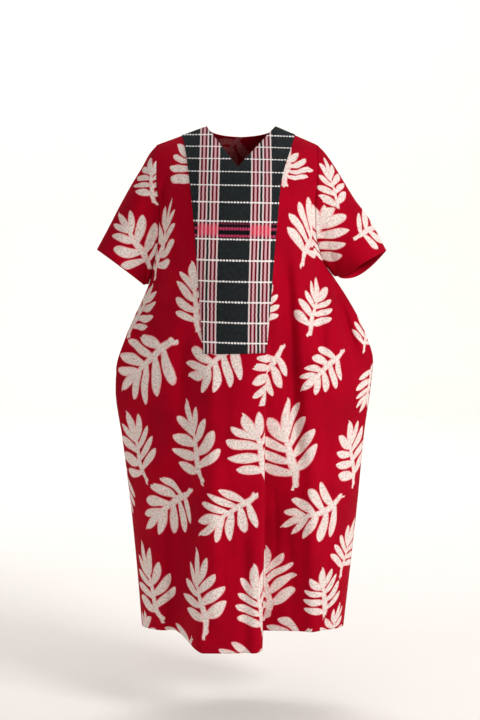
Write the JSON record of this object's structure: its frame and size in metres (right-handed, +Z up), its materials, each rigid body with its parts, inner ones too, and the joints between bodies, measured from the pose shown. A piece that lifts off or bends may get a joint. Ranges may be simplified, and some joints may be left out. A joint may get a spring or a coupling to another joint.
{
  "type": "loose kaftan dress",
  "caption": "Wide ankle-length loose dress with dropped short sleeves, V neck, woven yoke panel and side pockets, in its worn hollow form.",
  "frame": {"origin": "on the shoulder line, midway between the two points where it meets the neck", "axes": "+Z up, -Y the front of the dress, +X the wearer's left"},
  "size_m": [0.723, 0.3379, 1.2846],
  "materials": {
    "printed_cloth": "plain-weave cotton, printed all over with pale leaves on red",
    "woven_cloth": "hand-woven cotton strip cloth, charcoal with coloured stripes",
    "pocket_cloth": "plain-weave cotton, the back of the dress cloth"
  },
  "bodies": {
    "root": {"front": "printed_cloth", "back": "printed_cloth", "sleeve_right": "printed_cloth", "sleeve_left": "printed_cloth", "woven_panel": "woven_cloth", "pocket_bag_right": "pocket_cloth", "pocket_bag_left": "pocket_cloth"}
  },
  "joints": []
}
